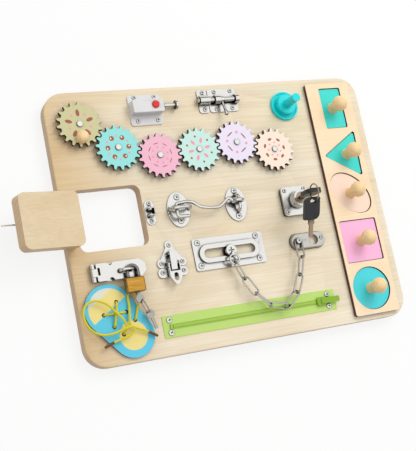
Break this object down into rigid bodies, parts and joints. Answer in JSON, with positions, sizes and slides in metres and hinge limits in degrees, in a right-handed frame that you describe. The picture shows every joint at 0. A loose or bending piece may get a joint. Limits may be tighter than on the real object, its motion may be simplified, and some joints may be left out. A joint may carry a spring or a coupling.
{
  "type": "busy board",
  "caption": "Wooden activity board with a window door, painted gears, latches, a chain, a zip, a lace-up shoe and a knob puzzle.",
  "frame": {"origin": "middle of the panel's back face", "axes": "+X along the board's long side, +Y up the board, +Z out of its front face"},
  "size_m": [0.4691, 0.3, 0.0807],
  "materials": {
    "birch_ply": "pale birch plywood, clear matt varnish",
    "puzzle_ply": "thin laser-cut plywood, dark cut edges",
    "shoe_paint": "painted and printed plywood",
    "grey_plastic": "light grey moulded plastic",
    "nickel": "nickel-plated steel",
    "lime_tape": "woven tape",
    "lime_teeth": "moulded plastic teeth",
    "teal_plastic": "glossy moulded plastic",
    "lace_cotton": "braided cord",
    "aglet_plastic": "brown plastic tips",
    "gear_olive": "painted plywood",
    "turned_wood": "turned beech, waxed",
    "gear_turquoise": "painted plywood",
    "gear_pink": "painted plywood",
    "gear_mint": "painted plywood",
    "gear_lavender": "painted plywood",
    "gear_peach": "painted plywood",
    "red_plastic": "glossy red plastic",
    "insert_turquoise": "painted plywood",
    "insert_peach": "painted plywood",
    "insert_pink": "painted plywood",
    "insert_sky": "painted plywood",
    "dark_steel": "plain steel",
    "brass": "polished brass",
    "black_plastic": "black moulded plastic",
    "lime_metal": "painted die-cast slider"
  },
  "bodies": {
    "board": {"board_panel": "birch_ply", "puzzle_frame": "puzzle_ply", "shoe_panel": "shoe_paint", "spring_latch_housing": "grey_plastic", "barrel_bolt_plates": "nickel", "cabin_hook_plates": "nickel", "toggle_latch_plates": "nickel", "chain_track": "nickel", "chain_anchor": "nickel", "drawer_lock_body": "nickel", "hasp_plates": "nickel", "ball_catch": "nickel", "zip_tape": "lime_tape", "zip_teeth": "lime_teeth", "gear_axles": "nickel", "plate_screws": "nickel", "display_bolt": "teal_plastic", "hinge_frame_leaf": "nickel", "shoe_lace": "lace_cotton", "lace_aglets": "aglet_plastic"},
    "gear_one": {"gear_1": "gear_olive", "crank_knob": "turned_wood"},
    "gear_two": {"gear_2": "gear_turquoise"},
    "gear_three": {"gear_3": "gear_pink"},
    "gear_four": {"gear_4": "gear_mint"},
    "gear_five": {"gear_5": "gear_lavender"},
    "gear_six": {"gear_6": "gear_peach"},
    "latch_bolt": {"spring_latch_bolt": "nickel"},
    "latch_button": {"spring_latch_button": "red_plastic"},
    "barrel_rod": {"barrel_bolt_rod": "nickel"},
    "barrel_handle": {"barrel_bolt_handle": "nickel"},
    "nut": {"display_nut": "teal_plastic"},
    "rectangle_insert": {"puzzle_rectangle": "insert_turquoise"},
    "triangle_insert": {"puzzle_triangle": "insert_turquoise"},
    "ellipse_insert": {"puzzle_ellipse": "insert_peach"},
    "square_insert": {"puzzle_square": "insert_pink"},
    "circle_insert": {"puzzle_circle": "insert_sky"},
    "door": {"door_panel": "birch_ply", "hinge_door_leaf": "nickel", "door_strike": "nickel", "door_screws": "nickel"},
    "hook": {"cabin_hook": "nickel"},
    "strap": {"hasp_strap": "nickel"},
    "shackle": {"padlock_shackle": "dark_steel"},
    "padlock": {"padlock_body": "brass"},
    "padlock_key_ring": {"padlock_keys": "nickel"},
    "toggle": {"toggle_lever": "nickel"},
    "claw": {"toggle_claw": "nickel"},
    "slider": {"chain_slider": "nickel"},
    "link_a": {"chain_link_a": "nickel"},
    "link_b": {"chain_link_b": "nickel"},
    "link_c": {"chain_link_c": "nickel"},
    "link_d": {"chain_link_d": "nickel"},
    "link_e": {"chain_link_e": "nickel"},
    "link_f": {"chain_link_f": "nickel"},
    "link_g": {"chain_link_g": "nickel"},
    "lock_key": {"lock_key": "black_plastic"},
    "spare_key": {"spare_key": "black_plastic"},
    "zip_slider": {"zip_slider": "lime_metal"}
  },
  "joints": [
    {"name": "gear_one_turn", "type": "hinge", "parent": "board", "child": "gear_one", "pos_m": [-0.1648, 0.1112, 0.0205], "axis": [0, 0, 1], "continuous": true},
    {"name": "gear_two_turn", "type": "hinge", "parent": "board", "child": "gear_two", "pos_m": [-0.12622, 0.08181, 0.0205], "axis": [0, 0, 1], "continuous": true},
    {"name": "gear_three_turn", "type": "hinge", "parent": "board", "child": "gear_three", "pos_m": [-0.07937, 0.06926, 0.0205], "axis": [0, 0, 1], "continuous": true},
    {"name": "gear_four_turn", "type": "hinge", "parent": "board", "child": "gear_four", "pos_m": [-0.03095, 0.07209, 0.0205], "axis": [0, 0, 1], "continuous": true},
    {"name": "gear_five_turn", "type": "hinge", "parent": "board", "child": "gear_five", "pos_m": [0.01734, 0.07657, 0.0205], "axis": [0, 0, 1], "continuous": true},
    {"name": "gear_six_turn", "type": "hinge", "parent": "board", "child": "gear_six", "pos_m": [0.06429, 0.06443, 0.0205], "axis": [0, 0, 1], "continuous": true},
    {"name": "latch_bolt_slide", "type": "slide", "parent": "board", "child": "latch_bolt", "axis": [1, 0, 0], "range_m": [-0.01, 0]},
    {"name": "latch_button_press", "type": "slide", "parent": "board", "child": "latch_button", "axis": [0, 0, -1], "range_m": [0, 0.0018]},
    {"name": "barrel_bolt_slide", "type": "slide", "parent": "board", "child": "barrel_rod", "axis": [1, 0, 0], "range_m": [0, 0.0145]},
    {"name": "barrel_handle_swing", "type": "hinge", "parent": "barrel_rod", "child": "barrel_handle", "pos_m": [0.0107, 0.1298, 0.0204], "axis": [-1, 0, 0], "range_deg": [0, 140]},
    {"name": "nut_spin", "type": "hinge", "parent": "board", "child": "nut", "pos_m": [0.0933, 0.1176, 0.0205], "axis": [0, 0, 1], "continuous": true},
    {"name": "rectangle_lift", "type": "slide", "parent": "board", "child": "rectangle_insert", "axis": [0, 0, 1], "range_m": [0, 0.03]},
    {"name": "triangle_lift", "type": "slide", "parent": "board", "child": "triangle_insert", "axis": [0, 0, 1], "range_m": [0, 0.03]},
    {"name": "ellipse_lift", "type": "slide", "parent": "board", "child": "ellipse_insert", "axis": [0, 0, 1], "range_m": [0, 0.03]},
    {"name": "square_lift", "type": "slide", "parent": "board", "child": "square_insert", "axis": [0, 0, 1], "range_m": [0, 0.03]},
    {"name": "circle_lift", "type": "slide", "parent": "board", "child": "circle_insert", "axis": [0, 0, 1], "range_m": [0, 0.03]},
    {"name": "door_swing", "type": "hinge", "parent": "board", "child": "door", "pos_m": [-0.185, 0.0064, 0.017], "axis": [0, 1, 0], "range_deg": [-9, 167]},
    {"name": "hook_swing", "type": "hinge", "parent": "board", "child": "hook", "pos_m": [0.004, 0.008, 0.0248], "axis": [0, 0, -1], "range_deg": [0, 20]},
    {"name": "hasp_swing", "type": "hinge", "parent": "board", "child": "strap", "pos_m": [-0.1785, -0.0515, 0.0195], "axis": [0, -1, 0], "range_deg": [0, 1.5]},
    {"name": "padlock_swing", "type": "hinge", "parent": "board", "child": "shackle", "pos_m": [-0.138, -0.0526, 0.0265], "axis": [-1, 0, 0], "range_deg": [0, 18]},
    {"name": "padlock_release", "type": "slide", "parent": "shackle", "child": "padlock", "axis": [0, -1, 0], "range_m": [0, 0.0035]},
    {"name": "padlock_key_turn", "type": "hinge", "parent": "padlock", "child": "padlock_key_ring", "pos_m": [-0.136, -0.078, 0.0265], "axis": [0, -1, 0], "range_deg": [0, 80]},
    {"name": "toggle_lever_swing", "type": "hinge", "parent": "board", "child": "toggle", "pos_m": [-0.0882, -0.052, 0.0205], "axis": [-1, 0, 0], "range_deg": [0, 70]},
    {"name": "claw_pivot", "type": "hinge", "parent": "toggle", "child": "claw", "pos_m": [-0.0882, -0.0585, 0.021], "axis": [-1, 0, 0], "range_deg": [-70, 0]},
    {"name": "chain_slide", "type": "slide", "parent": "board", "child": "slider", "axis": [1, 0, 0], "range_m": [-0.015, 0.015]},
    {"name": "link_a_swing", "type": "hinge", "parent": "slider", "child": "link_a", "pos_m": [-0.017, -0.0615, 0.0257], "axis": [0, 0, 1], "range_deg": [-9.5, 9.5]},
    {"name": "link_b_swing", "type": "hinge", "parent": "link_a", "child": "link_b", "pos_m": [-0.00945, -0.08099, 0.0257], "axis": [0, 0, 1], "range_deg": [-1.6, 1.6]},
    {"name": "link_c_swing", "type": "hinge", "parent": "link_b", "child": "link_c", "pos_m": [0.00114, -0.09901, 0.0257], "axis": [0, 0, 1], "range_deg": [-2, 2]},
    {"name": "link_d_swing", "type": "hinge", "parent": "link_c", "child": "link_d", "pos_m": [0.01575, -0.11395, 0.0257], "axis": [0, 0, 1], "range_deg": [-5.9, 5.9]},
    {"name": "link_g_swing", "type": "hinge", "parent": "board", "child": "link_g", "pos_m": [0.06734, -0.06613, 0.0257], "axis": [0, 0, 1], "range_deg": [-9.3, 9.3]},
    {"name": "link_f_swing", "type": "hinge", "parent": "link_g", "child": "link_f", "pos_m": [0.06062, -0.08592, 0.0257], "axis": [0, 0, 1], "range_deg": [-0.5, 0.5]},
    {"name": "link_e_swing", "type": "hinge", "parent": "link_f", "child": "link_e", "pos_m": [0.05123, -0.10459, 0.0257], "axis": [0, 0, 1], "range_deg": [-2, 2]},
    {"name": "lock_key_turn", "type": "hinge", "parent": "board", "child": "lock_key", "pos_m": [0.0787, 0.001, 0.031], "axis": [0, 0, 1], "range_deg": [0, 90]},
    {"name": "spare_key_swing", "type": "hinge", "parent": "lock_key", "child": "spare_key", "pos_m": [0.0745, -0.0018, 0.071], "axis": [-1, 0, 0], "range_deg": [-10, 60]},
    {"name": "zip_pull", "type": "slide", "parent": "board", "child": "zip_slider", "axis": [1, 0, 0], "range_m": [-0.175, 0]}
  ],
  "couplings": [
    {"joint": "gear_two_turn", "follows": "gear_one_turn", "ratio": -1},
    {"joint": "gear_three_turn", "follows": "gear_one_turn", "ratio": 1},
    {"joint": "gear_four_turn", "follows": "gear_one_turn", "ratio": -1},
    {"joint": "gear_five_turn", "follows": "gear_one_turn", "ratio": 1},
    {"joint": "gear_six_turn", "follows": "gear_one_turn", "ratio": -1},
    {"joint": "claw_pivot", "follows": "toggle_lever_swing", "ratio": -1},
    {"joint": "link_a_swing", "follows": "chain_slide", "rad_per_m": -10.886},
    {"joint": "link_b_swing", "follows": "chain_slide", "rad_per_m": 1.731},
    {"joint": "link_c_swing", "follows": "chain_slide", "rad_per_m": 2.098},
    {"joint": "link_d_swing", "follows": "chain_slide", "rad_per_m": 6.685},
    {"joint": "link_g_swing", "follows": "chain_slide", "rad_per_m": 10.62},
    {"joint": "link_f_swing", "follows": "chain_slide", "rad_per_m": -0.434},
    {"joint": "link_e_swing", "follows": "chain_slide", "rad_per_m": -2.143}
  ]
}
